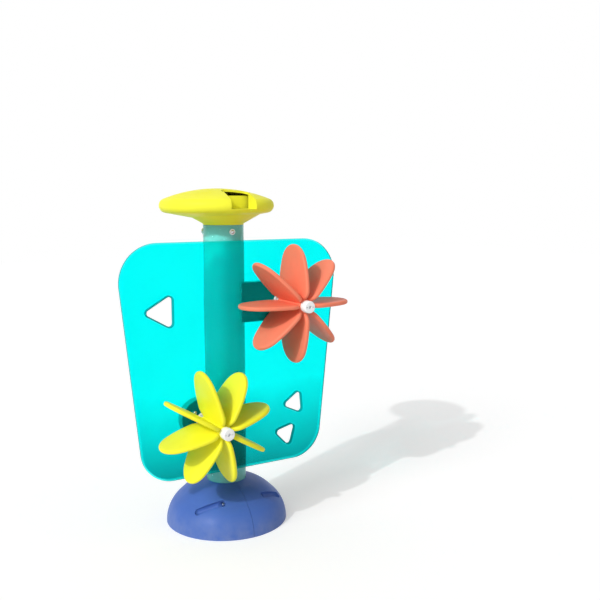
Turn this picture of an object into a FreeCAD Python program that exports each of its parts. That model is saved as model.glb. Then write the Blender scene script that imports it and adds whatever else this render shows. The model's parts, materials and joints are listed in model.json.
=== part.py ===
"""Water play column with a tinted panel and two paddle wheels.

Frame: millimetres, +Z up, origin on the ground under the column axis. The panel stands in
front of the column, its face towards -Y, and the wheels turn about axles along Y.
"""
import FreeCAD, Part
import math
import os
import Sketcher
from types import SimpleNamespace

V = FreeCAD.Vector
DOC = FreeCAD.newDocument("water_column")

DIMENSIONS = {
    # column
    "column_od": 168.3,
    "column_wall": 7.1,
    "column_top": 1262.0,
    "spigot_gap": 0.2,
    "seat_gap": 0.3,
    "axle_fit": 0.05,
    # base plate and socket
    "plate_radius": 192.0,
    "plate_thickness": 12.0,
    "anchor_circle": 320.0,
    "anchor_hole": 18.0,
    "flange_radius": 114.0,
    "flange_thickness": 12.0,
    "socket_wall": 7.0,
    "socket_height": 150.0,
    "socket_bolt_circle": 200.0,
    "socket_bolt_size": 10.0,
    # water supply
    "riser_od": 60.3,
    "riser_wall": 2.8,
    "riser_rise": 42.0,
    "union_wall": 7.0,
    "union_depth": 26.0,
    "union_seat": 36.0,
    "union_height": 62.0,
    "union_flange": 54.0,
    "union_flange_thickness": 6.0,
    "union_screw_radius": 45.5,
    "guide_thickness": 12.0,
    "lower_guide_height": 620.0,
    "upper_guide_drop": 140.0,
    # dome
    "dome_base_radius": 257.0,
    "dome_crease_radius": 202.0,
    "dome_crease_height": 116.0,
    "dome_shoulder_arc": 200.0,
    "dome_kink_radius": 128.0,
    "dome_kink_height": 166.0,
    "dome_height": 179.0,
    "dome_wall": 8.0,
    "dome_collar_depth": 22.0,
    "seam_gap": 1.6,
    "seam_bolt_size": 10.0,
    "seam_reach": 84.0,
    "seam_bolt_radius": 152.0,
    "seam_bolt_height": 122.0,
    "seam_thread": 52.0,
    "seam_boss_length": 70.0,
    "seat_bore": 11.5,
    "seat_depth": 30.0,
    "channel_start": 95.0,
    "channel_start_radius": 160.5,
    "channel_start_height": 130.0,
    "channel_end": 186.0,
    "channel_end_radius": 118.5,
    "channel_end_height": 98.0,
    "channel_radius": 14.5,
    "channel_wall": 6.0,
    "seal_height": 10.0,
    "seal_width": 9.0,
    # head
    "head_radius": 237.0,
    "head_shift_x": -17.0,
    "head_shift_y": 25.0,
    "head_rim": 30.0,
    "head_rim_rise": 78.0,
    "head_rise": 148.0,
    "head_wall": 8.0,
    "head_dish_radius": 92.0,
    "head_dish_rise": 26.0,
    "spout_width": 120.0,
    "spout_corner": 26.0,
    "spout_start_x": 17.0,
    "spout_start": 65.0,
    "spout_length": 175.0,
    "spout_rise": 60.0,
    "tray_wall": 5.0,
    "tray_thickness": 6.0,
    "collar_length": 66.0,
    "collar_wall": 9.0,
    "neck_straight": 4.0,
    "neck_flare_radius": 160.0,
    "neck_flare_height": 46.5,
    "neck_bore_rise": 23.0,
    "neck_screw_rise": 12.0,
    "neck_screw_seat": 9.5,
    "top_screw_drop": 28.0,
    "low_screw_height": 110.0,
    "top_screw_size": 8.0,
    "top_screw_head": 15.0,
    "top_washer_radius": 12.0,
    "nozzle_radius": 42.0,
    "nozzle_height": 26.0,
    # panel
    "panel_thickness": 20.0,
    "panel_gap": 0.35,
    "panel_bottom": 242.0,
    "panel_top": 1200.0,
    "panel_half_bottom": 401.0,
    "panel_half_top": 500.0,
    "panel_low_corner": 138.0,
    "panel_high_corner": 155.0,
    "window_corner": 12.0,
    "panel_bevel": 2.5,
    "high_window_x": -311.0,
    "high_window_z": 929.0,
    "middle_window_x": 285.0,
    "middle_window_z": 490.0,
    "low_window_x": 242.0,
    "low_window_z": 358.0,
    "high_window_size": 83.0,
    "low_window_size": 64.0,
    # arm brackets
    "arm_depth": 40.0,
    "arm_radius": 83.0,
    "arm_wall": 8.0,
    "arm_start": 38.0,
    "arm_boss": 26.0,
    "boss_depth": 20.0,
    "cover_thickness": 4.0,
    "cover_boss": 9.0,
    "cover_boss_reach": 67.0,
    "cover_boss_x": 96.0,
    "cover_screw_size": 5.0,
    "panel_screw_circle": 96.0,
    "panel_screw_size": 8.0,
    "saddle_screw_size": 8.0,
    "saddle_screw_spread": 40.0,
    # axles
    "axle_diameter": 25.0,
    "axle_shoulder": 17.0,
    "axle_shoulder_length": 6.0,
    "axle_tip": 4.0,
    "nut_washer": 3.0,
    "axle_nut_height": 12.0,
    "axle_nut_radius": 21.0,
    "collar_ring_radius": 30.0,
    # wheels
    "red_wheel_x": 208.0,
    "red_wheel_z": 942.0,
    "yellow_wheel_x": -151.0,
    "yellow_wheel_z": 477.5,
    "wheel_middle": 225.0,
    "wheel_radius": 244.0,
    "hub_radius": 27.0,
    "hub_front": 90.0,
    "hub_rear": 92.0,
    "petal_thickness": 17.0,
    "petal_edge_round": 7.0,
    "petal_half_width": 113.0,
    "petal_tip_radius": 95.0,
    "petal_wide_radius": 60.0,
    "petal_root_half_width": 86.0,
    "petal_root_arc": 45.0,
    "bush_radius": 18.0,
    "bush_length": 40.0,
    "bush_flange_radius": 23.5,
    "bush_flange": 8.0,
    "washer_radius": 20.0,
    "washer_thickness": 3.0,
    "cap_radius": 24.5,
    "cap_thickness": 25.0,
    "cap_round": 5.0,
    "cap_screw_head": 6.0,
    "cap_screw_size": 8.0,
    "cap_pin_hole": 3.0,
    "cap_pin_spacing": 28.0,
}
YELLOW_PHASE = 14.4
PETALS = 8
SPOUT_TURN = -9.0
SADDLE_ANGLE = 47.0


class Size:
    """A number together with the sheet formula that gives it."""

    def __init__(self, value, text):
        self.value = float(value)
        self.text = text

    def __add__(self, other):
        other = size(other)
        return Size(self.value + other.value, f"({self.text} + {other.text})")

    def __sub__(self, other):
        other = size(other)
        return Size(self.value - other.value, f"({self.text} - {other.text})")

    def __mul__(self, other):
        other = size(other)
        return Size(self.value * other.value, f"({self.text} * {other.text})")

    def __truediv__(self, other):
        other = size(other)
        return Size(self.value / other.value, f"({self.text} / {other.text})")

    def __neg__(self):
        return Size(-self.value, f"(-1 * {self.text})")

    __radd__ = __add__
    __rmul__ = __mul__

    def __rsub__(self, other):
        return size(other) - self


def size(number):
    """A plain number as a Size; a Size is returned as it is."""
    return number if isinstance(number, Size) else Size(number, f"{float(number):.9f}")


def root(number):
    return Size(math.sqrt(number.value), f"sqrt({number.text})")


def make_sheet():
    """The spreadsheet of driving dimensions, and the same values as Size objects."""
    sheet = DOC.addObject("Spreadsheet::Sheet", "Dimensions")
    for row, (name, value) in enumerate(DIMENSIONS.items(), start=1):
        sheet.set(f"A{row}", name)
        sheet.set(f"B{row}", str(value))
        sheet.setAlias(f"B{row}", name)
    DOC.recompute()
    return SimpleNamespace(
        **{name: Size(sheet.get(name), f"Dimensions.{name}") for name in DIMENSIONS}
    )


D = make_sheet()
SUBPARTS = []

UP = FreeCAD.Rotation()
FORWARD = FreeCAD.Rotation(V(1, 0, 0), 90)
BACK = FreeCAD.Rotation(V(1, 0, 0), -90)


# ---------------------------------------------------------------- general helpers

def bind(thing, prop, value):
    """Tie one property to a formula of the sheet."""
    thing.setExpression(prop, size(value).text)


def place(thing, at, turn=UP):
    """Turn an object and tie its position to the sheet."""
    at = [size(value) for value in at]
    thing.Placement = FreeCAD.Placement(V(*[value.value for value in at]), turn)
    for axis, value in zip("xyz", at):
        bind(thing, f"Placement.Base.{axis}", value)


def keep(label, thing):
    """Name a finished sub-part and put it on the list of files to write."""
    thing.Label = label
    SUBPARTS.append(thing)
    return thing


def cylinder(radius, length, at, turn=UP):
    thing = DOC.addObject("Part::Cylinder", "Cylinder")
    bind(thing, "Radius", radius)
    bind(thing, "Height", length)
    place(thing, at, turn)
    return thing


def cut(base, tools):
    thing = DOC.addObject("Part::Cut", "Cut")
    thing.Base = base
    thing.Tool = tools[0] if len(tools) == 1 else fuse(tools)
    return thing


def fuse(parts):
    thing = DOC.addObject("Part::MultiFuse", "Fuse")
    thing.Shapes = parts
    return thing


def group(parts):
    """Separate solids kept as one sub-part."""
    thing = DOC.addObject("Part::Compound", "Group")
    thing.Links = parts
    return thing


def ring(outer, inner, length, at, turn=UP):
    """A plain tube."""
    return cut(cylinder(outer, length, at, turn), [cylinder(inner, length, at, turn)])


def hexagon(across_radius, length, at, turn=UP):
    """A hexagonal prism, measured over its corners."""
    thing = DOC.addObject("Part::Prism", "Prism")
    thing.Polygon = 6
    bind(thing, "Circumradius", across_radius)
    bind(thing, "Height", length)
    place(thing, at, turn)
    return thing


def around(radius, angle, height):
    """A point on a circle about the column; angle 0 is the front and 90 is +X."""
    turn = math.radians(angle)
    return [size(radius) * math.sin(turn), size(radius) * -math.cos(turn), size(height)]


def outward(angle):
    """The turn that points a cylinder away from the column at that angle."""
    turn = math.radians(angle)
    return FreeCAD.Rotation(V(0, 0, 1), V(math.sin(turn), -math.cos(turn), 0))


def new_body(name):
    return DOC.addObject("PartDesign::Body", name)


def plane_of(body, role):
    return next(item for item in body.Origin.OriginFeatures if item.Role == role)


def sketch_on(body, role, name):
    sketch = body.newObject("Sketcher::SketchObject", name)
    sketch.AttachmentSupport = [(plane_of(body, role), "")]
    sketch.MapMode = "FlatFace"
    return sketch


def fix_point(sketch, index, end, x, y):
    """Hold one end of a sketch line or arc at sheet-driven coordinates."""
    for kind, axis, value in (("DistanceX", -2, size(x)), ("DistanceY", -1, size(y))):
        if value.text == size(0).text:
            sketch.addConstraint(Sketcher.Constraint("PointOnObject", index, end, axis))
            continue
        number = sketch.addConstraint(
            Sketcher.Constraint(kind, -1, 1, index, end, value.value)
        )
        sketch.setExpression(f"Constraints[{number}]", value.text)


def add_arc(sketch, start, end, radius):
    """A minor arc between two points. A positive radius turns left, a negative one right.

    Returns the arc's index and which of its ends is the start."""
    side = 1.0 if radius.value > 0 else -1.0
    reach = abs(radius.value)
    chord = end - start
    half = chord.Length / 2
    across = V(-chord.y, chord.x, 0).normalize()
    centre = (start + end) / 2 + across * side * math.sqrt(max(reach**2 - half**2, 0.0))
    first, last = (start, end) if side > 0 else (end, start)
    begin = math.atan2(first.y - centre.y, first.x - centre.x)
    finish = math.atan2(last.y - centre.y, last.x - centre.x)
    if finish < begin:
        finish += 2 * math.pi
    circle = Part.Circle(centre, V(0, 0, 1), reach)
    index = sketch.addGeometry(Part.ArcOfCircle(circle, begin, finish), False)
    number = sketch.addConstraint(Sketcher.Constraint("Radius", index, reach))
    text = radius.text if side > 0 else f"(-1 * {radius.text})"
    sketch.setExpression(f"Constraints[{number}]", text)
    return index, 1 if side > 0 else 2


def draw_loop(sketch, corners):
    """One closed, fully held loop.

    Each corner is (x, y) or (x, y, radius), where the radius bends the way to the next one."""
    points = [V(size(c[0]).value, size(c[1]).value, 0) for c in corners]
    ends = []
    for number, corner in enumerate(corners):
        start = points[number]
        end = points[(number + 1) % len(points)]
        if len(corner) == 3:
            index, first = add_arc(sketch, start, end, size(corner[2]))
        else:
            index = sketch.addGeometry(Part.LineSegment(start, end), False)
            first = 1
        ends.append((index, first))
        fix_point(sketch, index, first, corner[0], corner[1])
    for (index, first), (after, after_first) in zip(ends, ends[1:] + ends[:1]):
        last = 3 - first
        sketch.addConstraint(Sketcher.Constraint("Coincident", index, last, after, after_first))


def outline(body, role, name, *loops):
    """A sketch of one or more closed loops."""
    sketch = sketch_on(body, role, name)
    for corners in loops:
        draw_loop(sketch, corners)
    return sketch


def revolve(body, sketch, angle=360.0):
    """A full turn, or a part turn to both sides of the sketch."""
    feature = body.newObject("PartDesign::Revolution", "Turned")
    feature.Profile = sketch
    feature.ReferenceAxis = (sketch, ["V_Axis"])
    feature.Angle = angle
    feature.Midplane = angle < 360
    return feature


def pad(body, sketch, length, both_ways=False):
    feature = body.newObject("PartDesign::Pad", "Pad")
    feature.Profile = sketch
    bind(feature, "Length", length)
    feature.Midplane = both_ways
    return feature


def turned(name, role, corners, at=(0, 0, 0), turn=UP):
    """A solid of revolution about the upright axis of its sketch."""
    body = new_body(name)
    revolve(body, outline(body, role, name + "Profile", corners))
    place(body, at, turn)
    return body


def slab(name, role, loops, length, at=(0, 0, 0), turn=UP):
    """A flat plate or prism."""
    body = new_body(name)
    pad(body, outline(body, role, name + "Profile", *loops), length)
    place(body, at, turn)
    return body


def drill(radius, start, length, x, y):
    """A tool for an upright hole that runs 1 mm past both faces."""
    return cylinder(radius, size(length) + 2, (x, y, size(start) - 1))


def drill_forward(radius, start, length, x, z):
    """A tool for a hole along Y; `start` is how far its rear face is ahead of the axis."""
    return cylinder(radius, size(length) + 2, (x, -(size(start) - 1), z), FORWARD)


def drill_out(radius, inner, outer, angle, height):
    """A tool for a hole pointing away from the column axis."""
    return cylinder(
        radius, size(outer) - inner, around(inner, angle, height), outward(angle)
    )


def screw(head, thread, length, at, turn=UP, socket=0.62):
    """A dome-head socket screw; `at` is the middle of the face under its head."""
    head, shank, length = size(head), size(thread) / 2, size(length)
    top = head * 0.7
    body = turned("Screw", "XZ_Plane", [
        (0, -length),
        (shank - 0.8, -length),
        (shank, 0.8 - length),
        (shank, 0),
        (head, 0),
        (head, top * 0.35, head * 0.85),
        (head * 0.5, top),
        (0, top),
    ])
    recess = hexagon(shank * socket, top, (0, 0, top * 0.45))
    thing = cut(body, [recess])
    place(thing, at, turn)
    return thing


# ---------------------------------------------------------------- shared places

COLUMN_R = D.column_od / 2
BORE_R = COLUMN_R - D.column_wall
SPIGOT_R = BORE_R - D.spigot_gap
PLATE_Z = D.plate_thickness
FLANGE_Z = PLATE_Z + D.flange_thickness
PANEL_BACK = COLUMN_R + D.panel_gap
PANEL_FRONT = PANEL_BACK + D.panel_thickness
AXLE_R = D.axle_diameter / 2
THIRDS = (0.0, 120.0, 240.0)
WHEELS = {
    "red": (D.red_wheel_x, D.red_wheel_z, 0.0, 1.0),
    "yellow": (D.yellow_wheel_x, D.yellow_wheel_z, YELLOW_PHASE, -1.0),
}
RISER_R = D.riser_od / 2
RISER_BORE = RISER_R - D.riser_wall
RISER_TOP = D.column_top + D.riser_rise
TOP_SCREW_Z = D.column_top - D.top_screw_drop
NECK_SCREW_Z = D.column_top + D.neck_screw_rise
NECK_BORE_Z = D.column_top + D.neck_bore_rise
DISH_Z = D.column_top + D.head_dish_rise
SPOUT_Z = D.column_top + D.spout_rise
RIM_Z = D.column_top + D.head_rim_rise
HEAD_TOP = D.column_top + D.head_rise
COVER_FACE = PANEL_BACK - D.arm_depth
ARM_BACK = COVER_FACE + D.cover_thickness
BOSS_BACK = PANEL_BACK - D.boss_depth
SADDLE_R = COLUMN_R + D.seat_gap
HUB_FACE = D.wheel_middle + D.hub_front
BUSH_REAR = D.wheel_middle - D.hub_rear - D.bush_flange
WASHER_BACK = HUB_FACE + D.bush_flange
CAP_BACK = WASHER_BACK + D.washer_thickness
LOWER_SCREWS = (60.0, 180.0, 300.0)
QUARTERS = (45.0, 135.0, 225.0, 315.0)
SIXTHS = (0.0, 60.0, 120.0, 180.0, 240.0, 300.0)
NECK_SCREWS = (140.0, 220.0)


# ---------------------------------------------------------------- base and column

def base_and_column():
    """The plate in the ground, the socket on it and the column it carries."""
    bolt_r = D.socket_bolt_size / 2
    bolts = [around(D.socket_bolt_circle / 2, angle + 30, FLANGE_Z) for angle in SIXTHS]
    ties = [around(D.union_screw_radius, angle, PLATE_Z) for angle in THIRDS]
    holes = [drill(D.anchor_hole / 2, 0, PLATE_Z, *around(D.anchor_circle / 2, angle, 0)[:2])
             for angle in QUARTERS]
    holes += [drill(bolt_r + 0.05, 0, PLATE_Z, x, y) for x, y, _ in bolts]
    holes += [drill(3.05, 0, PLATE_Z, x, y) for x, y, _ in ties]
    holes.append(drill(RISER_R + D.union_wall + 0.2, 0, PLATE_Z, 0, 0))
    plate = cylinder(D.plate_radius, D.plate_thickness, (0, 0, 0))
    keep("anchor_plate", cut(plate, holes))

    inner = SPIGOT_R - D.socket_wall
    socket = turned("Socket", "XZ_Plane", [
        (inner, PLATE_Z),
        (D.flange_radius, PLATE_Z),
        (D.flange_radius, FLANGE_Z),
        (SPIGOT_R, FLANGE_Z),
        (SPIGOT_R, PLATE_Z + D.socket_height),
        (inner, PLATE_Z + D.socket_height),
    ])
    low_r = D.top_screw_size / 2 + 0.05
    holes = [drill(bolt_r + 0.05, PLATE_Z, D.flange_thickness, x, y) for x, y, _ in bolts]
    holes += [drill_out(low_r, inner - 5, COLUMN_R, angle, D.low_screw_height)
              for angle in LOWER_SCREWS]
    keep("column_socket", cut(socket, holes))
    keep("socket_bolts", group([
        screw(8.0, D.socket_bolt_size, D.flange_thickness + 10, at) for at in bolts
    ]))

    wall = ring(COLUMN_R, BORE_R, D.column_top - FLANGE_Z, (0, 0, FLANGE_Z))
    holes = [drill_out(low_r, BORE_R - 3, COLUMN_R + 3, angle, D.low_screw_height)
             for angle in LOWER_SCREWS]
    holes += [drill_out(low_r, BORE_R - 3, COLUMN_R + 3, angle, TOP_SCREW_Z)
              for angle in THIRDS]
    for _, (_, z, _, side) in WHEELS.items():
        for step in (-1, 1):
            holes.append(drill_out(D.saddle_screw_size / 2 + 0.05, BORE_R - 3, COLUMN_R + 3,
                                   SADDLE_ANGLE * side, z + D.saddle_screw_spread * step))
    keep("column_tube", cut(wall, holes))
    keep("column_lower_screws", group([
        screw(7.5, D.top_screw_size, D.column_wall + 9,
              around(COLUMN_R + D.seat_gap, angle, D.low_screw_height), outward(angle))
        for angle in LOWER_SCREWS
    ]))


def water_supply():
    """The pipe that feeds the head, up the middle of the column."""
    out_r = RISER_R + D.union_wall
    slip_r = RISER_R + D.axle_fit
    flange_top = PLATE_Z + D.union_flange_thickness
    union = turned("Union", "XZ_Plane", [
        (RISER_R, 0),
        (out_r, 0),
        (out_r, PLATE_Z),
        (D.union_flange, PLATE_Z),
        (D.union_flange, flange_top),
        (out_r, flange_top),
        (out_r, D.union_height),
        (slip_r, D.union_height),
        (slip_r, D.union_seat),
        (RISER_BORE, D.union_seat),
        (RISER_BORE, D.union_depth),
        (RISER_R, D.union_depth),
    ])
    spots = [around(D.union_screw_radius, angle, flange_top) for angle in THIRDS]
    holes = [drill(3.05, PLATE_Z, D.union_flange_thickness, x, y) for x, y, _ in spots]
    keep("inlet_union", cut(union, holes))
    keep("union_screws", group([
        screw(5.0, 6.0, D.union_flange_thickness + 9, at) for at in spots
    ]))
    keep("riser_pipe", ring(RISER_R, RISER_BORE, RISER_TOP - D.union_seat,
                            (0, 0, D.union_seat)))
    for name, height in (("lower", D.lower_guide_height),
                         ("upper", D.column_top - D.upper_guide_drop)):
        guide = ring(BORE_R - D.spigot_gap, slip_r, D.guide_thickness, (0, 0, height))
        openings = [drill(12.0, height, D.guide_thickness, *around(54.0, angle, 0)[:2])
                    for angle in SIXTHS]
        keep(f"riser_guide_{name}", cut(guide, openings))


# ---------------------------------------------------------------- dome

def dome_profile(inset, floor=0):
    """The dome's outer line from its foot to its kink, or a line inside it."""
    floor = size(floor)
    wide_r = D.dome_base_radius - inset
    crease_r = D.dome_crease_radius - inset * 0.72
    crease_z = D.dome_crease_height - inset * 0.7
    spread = wide_r - crease_r
    bend = (spread * spread + crease_z * crease_z) / (spread * 2)
    foot_r = wide_r - bend + root(bend * bend - floor * floor)
    return [
        (foot_r, floor, bend),
        (crease_r, crease_z, D.dome_shoulder_arc),
        (D.dome_kink_radius, D.dome_kink_height - inset * 1.05),
    ]


def backwards(corners):
    """The same open line walked the other way."""
    line = []
    for number in range(len(corners) - 1, -1, -1):
        corner = corners[number][:2]
        if number and len(corners[number - 1]) == 3:
            corner += (-corners[number - 1][2],)
        line.append(corner)
    return line


def dome_wedge(name, corners):
    """A 120 degree turn of a profile, half to each side of local +X."""
    body = new_body(name)
    revolve(body, outline(body, "XZ_Plane", name + "Profile", corners), 120.0)
    return body


def seam_point(side, reach, radius, height):
    """A point measured from one seam face of a sector: how far into it, how far out, how high."""
    half, most = 0.5, math.sqrt(0.75)
    reach, radius = size(reach), size(radius)
    return [radius * half + reach * most, (reach * half - radius * most) * side, size(height)]


def rod(radius, start, end):
    """A cylinder between two points."""
    run = [b - a for a, b in zip(start, end)]
    length = root(run[0] * run[0] + run[1] * run[1] + run[2] * run[2])
    turn = FreeCAD.Rotation(V(0, 0, 1), V(*[value.value for value in run]))
    return cylinder(radius, length, start, turn)


def ball(radius, at):
    thing = DOC.addObject("Part::Sphere", "Sphere")
    bind(thing, "Radius", radius)
    place(thing, at)
    return thing


def channel(side, radius):
    """The sunk way to one seam bolt, of a given radius."""
    near = seam_point(side, D.channel_start, D.channel_start_radius, D.channel_start_height)
    far = seam_point(side, D.channel_end, D.channel_end_radius, D.channel_end_height)
    return [ball(radius, near), rod(radius, near, far), ball(radius, far)]


def dome_sector(label, angle, open_sides):
    """One third of the base dome.

    Its open sides have a channel to the head or nut of the seam bolt, the others a boss that
    the end of the bolt threads into."""
    collar_r = COLUMN_R + D.panel_gap
    collar_z = D.dome_height - D.dome_collar_depth
    lip_r = D.plate_radius + D.seat_gap
    outer = dome_wedge("DomeOuter", [
        (collar_r + 10, 0),
        *dome_profile(0),
        (collar_r + 10, D.dome_kink_height),
    ])
    shell = dome_wedge("DomeShell", [
        (lip_r, 0),
        *dome_profile(0),
        (collar_r, D.dome_height),
        (collar_r, collar_z),
        (collar_r + D.dome_wall, collar_z),
        (collar_r + D.dome_wall, D.dome_height - D.dome_wall * 1.35),
        *backwards(dome_profile(D.dome_wall, D.dome_wall)),
        (lip_r, D.dome_wall),
    ])
    bosses = []
    tools = []
    for side in (1, -1):
        reaches = [D.seam_reach, D.seam_reach + D.seat_depth]
        if side not in open_sides:
            reaches = [D.seam_thread + 2, D.seam_boss_length]
        face, seat, deep = [seam_point(side, reach, D.seam_bolt_radius, D.seam_bolt_height)
                            for reach in [0, *reaches]]
        bosses.append(rod(D.seat_bore + D.channel_wall, face, deep))
        tools.append(rod(D.seam_bolt_size / 2 + 0.1, face, seat))
        if side in open_sides:
            bosses += channel(side, D.channel_radius + D.channel_wall)
            tools += channel(side, D.channel_radius)
            tools.append(rod(D.seat_bore, seat, deep))
        blade = DOC.addObject("Part::Box", "SeamCut")
        bind(blade, "Length", 300)
        bind(blade, "Width", D.seam_gap)
        bind(blade, "Height", 220)
        place(blade, (D.seam_gap / 2 * -side * math.sqrt(0.75), D.seam_gap / -4, -5),
              FreeCAD.Rotation(V(0, 0, 1), -60.0 * side))
        tools.append(blade)
    common = DOC.addObject("Part::Common", "Inside")
    common.Base = fuse(bosses)
    common.Tool = outer
    sector = cut(fuse([shell, common]), tools)
    sector.Placement = FreeCAD.Placement(V(), FreeCAD.Rotation(V(0, 0, 1), angle))
    return keep(label, sector)


def base_dome():
    """The dome in three sectors, clamped to each other around the column."""
    for label, angle, open_sides in (("dome_sector_right", -30.0, (1,)),
                                     ("dome_sector_rear", 90.0, (1, -1)),
                                     ("dome_sector_left", 210.0, (-1,))):
        dome_sector(label, angle, open_sides)
    bolts = []
    for angle, side, beyond in ((0.0, 1, D.seam_reach + 9), (120.0, 1, D.seam_thread),
                                (240.0, -1, D.seam_thread)):
        turn = math.radians(angle)
        along = V(math.cos(turn) * side, math.sin(turn) * side, 0)
        middle = around(D.seam_bolt_radius, angle, D.seam_bolt_height)
        head = [middle[0] + D.seam_reach * along.x, middle[1] + D.seam_reach * along.y, middle[2]]
        bolts.append(screw(8.0, D.seam_bolt_size, D.seam_reach + beyond, head,
                           FreeCAD.Rotation(V(0, 0, 1), along)))
    keep("seam_bolts", group(bolts))
    nut = cut(hexagon(9.5, 8.0, (0, 0, 0)),
              [cylinder(D.seam_bolt_size / 2 + 0.05, 10.0, (0, 0, -1))])
    place(nut, (-D.seam_reach, -D.seam_bolt_radius, D.seam_bolt_height),
          FreeCAD.Rotation(V(0, 0, 1), V(-1, 0, 0)))
    keep("seam_nut", nut)
    under = D.dome_height - D.dome_collar_depth
    keep("dome_collar_seal", ring(COLUMN_R + D.axle_fit + D.seal_width, COLUMN_R + D.axle_fit,
                                  D.seal_height, (0, 0, under - D.seal_height)))


# ---------------------------------------------------------------- head

def head_profile(inset):
    """Half the outline of the head about its own axis, or of a skin inside it."""
    rim = D.head_rim - inset
    reach = D.head_radius - D.head_rim
    top = HEAD_TOP - inset
    dish_r = D.head_dish_radius - inset * 0.1
    dish_z = DISH_Z + inset
    run = reach - dish_r
    climb = RIM_Z - dish_z
    far = root(run * run + climb * climb)
    touch = root(far * far - rim * rim)
    cosine, sine = touch / far, rim / far
    low_r = dish_r + touch * (run * cosine + climb * sine) / far
    low_z = dish_z + touch * (climb * cosine - run * sine) / far
    high = top - RIM_Z
    crown = (reach * reach + high * high - rim * rim) / ((high - rim) * 2)
    grow = crown / (crown - rim)
    return [
        (0, dish_z),
        (dish_r, dish_z),
        (low_r, low_z, rim),
        (reach * grow, top - crown + (crown - high) * grow, crown),
        (0, top),
    ]


def spout_slot(name, narrower, start, height):
    """The shape of the notch cut through the rim, as seen from above."""
    half = D.spout_width / 2 - narrower
    corner = D.spout_corner
    return slab(name, "XY_Plane", [[
        (-half, -D.spout_length),
        (half, -D.spout_length),
        (half, -corner, corner),
        (half - corner, 0),
        (corner - half, 0, corner),
        (-half, -corner),
    ]], height, (D.spout_start_x, -D.spout_start, start),
        FreeCAD.Rotation(V(0, 0, 1), SPOUT_TURN))


def spill_head():
    """The round head, the tray its water runs over and the collar that joins it."""
    shift = (D.head_shift_x, D.head_shift_y, 0)
    skin = turned("HeadSkin", "XZ_Plane", head_profile(0), shift)
    hollow = turned("HeadHollow", "XZ_Plane", head_profile(D.head_wall), shift)
    flare_top = D.column_top + D.neck_flare_height
    neck = turned("Neck", "XZ_Plane", [
        (0, D.column_top),
        (COLUMN_R, D.column_top),
        (COLUMN_R, D.column_top + D.neck_straight),
        (D.neck_flare_radius, flare_top),
        (0, flare_top),
    ])
    screw_r = D.top_screw_size / 2 + 0.05
    holes = [
        hollow,
        spout_slot("SpoutNotch", 0, SPOUT_Z, 120),
        cylinder(BORE_R, NECK_BORE_Z - D.column_top + 5, (0, 0, D.column_top - 5)),
        drill(RISER_R + D.axle_fit * 4, NECK_BORE_Z, 12, 0, 0),
    ]
    holes += [drill_out(screw_r, BORE_R - 3, COLUMN_R + 3, angle, NECK_SCREW_Z)
              for angle in NECK_SCREWS]
    holes += [drill_out(D.neck_screw_seat, COLUMN_R, COLUMN_R + 45, angle, NECK_SCREW_Z)
              for angle in NECK_SCREWS]
    keep("head_shell", cut(fuse([skin, neck]), holes))

    base = D.column_top - D.collar_length
    collar = ring(SPIGOT_R, SPIGOT_R - D.collar_wall, NECK_BORE_Z - base, (0, 0, base))
    inner = SPIGOT_R - D.collar_wall - 3
    holes = [drill_out(screw_r, inner, COLUMN_R, angle, NECK_SCREW_Z)
             for angle in NECK_SCREWS]
    holes += [drill_out(screw_r, inner, COLUMN_R, angle, TOP_SCREW_Z)
              for angle in THIRDS]
    keep("head_collar", cut(collar, holes))
    keep("head_neck_screws", group([
        screw(6.5, D.top_screw_size, D.column_wall + 8,
              around(COLUMN_R + 0.2, angle, NECK_SCREW_Z), outward(angle))
        for angle in NECK_SCREWS
    ]))
    face = COLUMN_R + 3
    washers = []
    for angle in THIRDS:
        blank = cylinder(D.top_washer_radius, 8.0,
                         around(face - 8, angle, TOP_SCREW_Z), outward(angle))
        column = cylinder(COLUMN_R + 0.02, 80.0, (0, 0, TOP_SCREW_Z - 40))
        bore = drill_out(screw_r, face - 10, face + 2, angle, TOP_SCREW_Z)
        washers.append(cut(blank, [column, bore]))
    keep("column_top_washers", group(washers))
    keep("column_top_screws", group([
        screw(D.top_screw_head / 2, D.top_screw_size, D.column_wall + 12,
              around(face, angle, TOP_SCREW_Z), outward(angle))
        for angle in THIRDS
    ]))

    floor = D.tray_thickness
    tongue = spout_slot("TrayTongue", 0.3, SPOUT_Z, floor)
    disc = cylinder(D.nozzle_radius + 8, floor, (0, 0, SPOUT_Z))
    bridge = DOC.addObject("Part::Box", "TrayBridge")
    bind(bridge, "Length", D.spout_width - D.spout_corner * 2)
    bind(bridge, "Width", 70)
    bind(bridge, "Height", floor)
    place(bridge, (D.spout_corner - D.spout_width / 2 + 10, -D.spout_start - 8, SPOUT_Z))
    outside = spout_slot("TrayOutside", 0.3, SPOUT_Z, 120)
    inside = spout_slot("TrayInside", D.tray_wall, SPOUT_Z + floor, 120)
    back = DOC.addObject("Part::Box", "TrayBack")
    bind(back, "Length", 160)
    bind(back, "Width", 60)
    bind(back, "Height", 130)
    place(back, (-63, -D.spout_start - D.spout_corner - 6, SPOUT_Z + floor))
    walls = cut(outside, [inside, back])
    whole = fuse([tongue, disc, bridge, walls])
    tray = DOC.addObject("Part::Common", "TrayTrimmed")
    tray.Base = whole
    tray.Tool = turned("TraySkin", "XZ_Plane", head_profile(0), shift)
    keep("spill_tray", cut(tray, [drill(RISER_BORE, SPOUT_Z, floor, 0, 0)]))
    seat = DISH_Z + D.head_wall
    slip_r = RISER_R + D.axle_fit
    keep("water_nozzle", turned("Nozzle", "XZ_Plane", [
        (slip_r, seat),
        (D.nozzle_radius, seat),
        (D.nozzle_radius, SPOUT_Z),
        (RISER_BORE, SPOUT_Z),
        (RISER_BORE, RISER_TOP),
        (slip_r, RISER_TOP),
    ]))


# ---------------------------------------------------------------- panel and arms

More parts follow.
